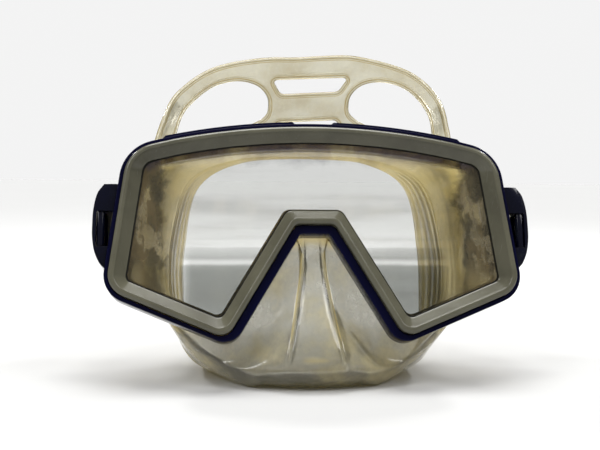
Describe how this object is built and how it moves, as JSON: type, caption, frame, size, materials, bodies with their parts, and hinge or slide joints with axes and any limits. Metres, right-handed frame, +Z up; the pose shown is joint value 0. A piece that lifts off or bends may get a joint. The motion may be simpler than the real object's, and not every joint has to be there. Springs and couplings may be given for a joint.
{
  "type": "diving mask",
  "caption": "Single-lens diving mask with a stepped bezel, a clear skirt with a nose pocket, side strap buckles with release levers, and a clear split head strap.",
  "frame": {"origin": "middle of the flat stand face under the skirt, on the surface that the mask stands on", "axes": "+X to the wearer's left, which is the right side of the front view; +Y from the lens towards the face; +Z up from the stand face. The lens leans back 16 degrees."},
  "size_m": [0.182, 0.1371, 0.145],
  "materials": {
    "navy_plastic": "glossy moulded ABS, scuffed at the edges",
    "olive_plastic": "satin moulded plastic, olive grey",
    "lens_glass": "flat tempered glass with water stains near its ends",
    "clear_skirt_pvc": "clear flexible PVC, yellowed with age",
    "clear_strap_pvc": "clear flexible PVC with a rolled rim, yellowed with age",
    "steel": "bright stainless wire"
  },
  "bodies": {
    "mask": {"main_frame": "navy_plastic", "bezel_ring": "olive_plastic", "lens": "lens_glass", "skirt": "clear_skirt_pvc", "buckle_body_left": "navy_plastic", "roller_axle_left": "steel", "lever_pin_left": "steel", "lever_spring_left": "steel", "strap_end_left": "clear_strap_pvc", "buckle_body_right": "navy_plastic", "roller_axle_right": "steel", "lever_pin_right": "steel", "lever_spring_right": "steel", "strap_end_right": "clear_strap_pvc"},
    "strap": {"strap_rear": "clear_strap_pvc", "strap_keeper_left": "navy_plastic", "strap_keeper_right": "navy_plastic"},
    "roller_left": {"strap_roller_left": "navy_plastic"},
    "lever_left": {"lock_lever_left": "navy_plastic"},
    "roller_right": {"strap_roller_right": "navy_plastic"},
    "lever_right": {"lock_lever_right": "navy_plastic"}
  },
  "joints": [
    {"name": "strap_swing", "type": "hinge", "parent": "mask", "child": "strap", "pos_m": [0, -0.00222, 0.0626], "axis": [1, 0, 0], "range_deg": [-50, 12]},
    {"name": "roller_spin_left", "type": "hinge", "parent": "mask", "child": "roller_left", "pos_m": [-0.085, -0.00222, 0.0626], "axis": [0, 0.2756, 0.9613], "continuous": true},
    {"name": "lever_release_left", "type": "hinge", "parent": "mask", "child": "lever_left", "pos_m": [-0.0869, -0.01183, 0.06536], "axis": [0, 0.2756, 0.9613], "range_deg": [0, 18], "stiffness_Nm_per_rad": 0.02},
    {"name": "roller_spin_right", "type": "hinge", "parent": "mask", "child": "roller_right", "pos_m": [0.085, -0.00222, 0.0626], "axis": [0, 0.2756, 0.9613], "continuous": true},
    {"name": "lever_release_right", "type": "hinge", "parent": "mask", "child": "lever_right", "pos_m": [0.0869, -0.01183, 0.06536], "axis": [0, -0.2756, -0.9613], "range_deg": [0, 18], "stiffness_Nm_per_rad": 0.02}
  ]
}
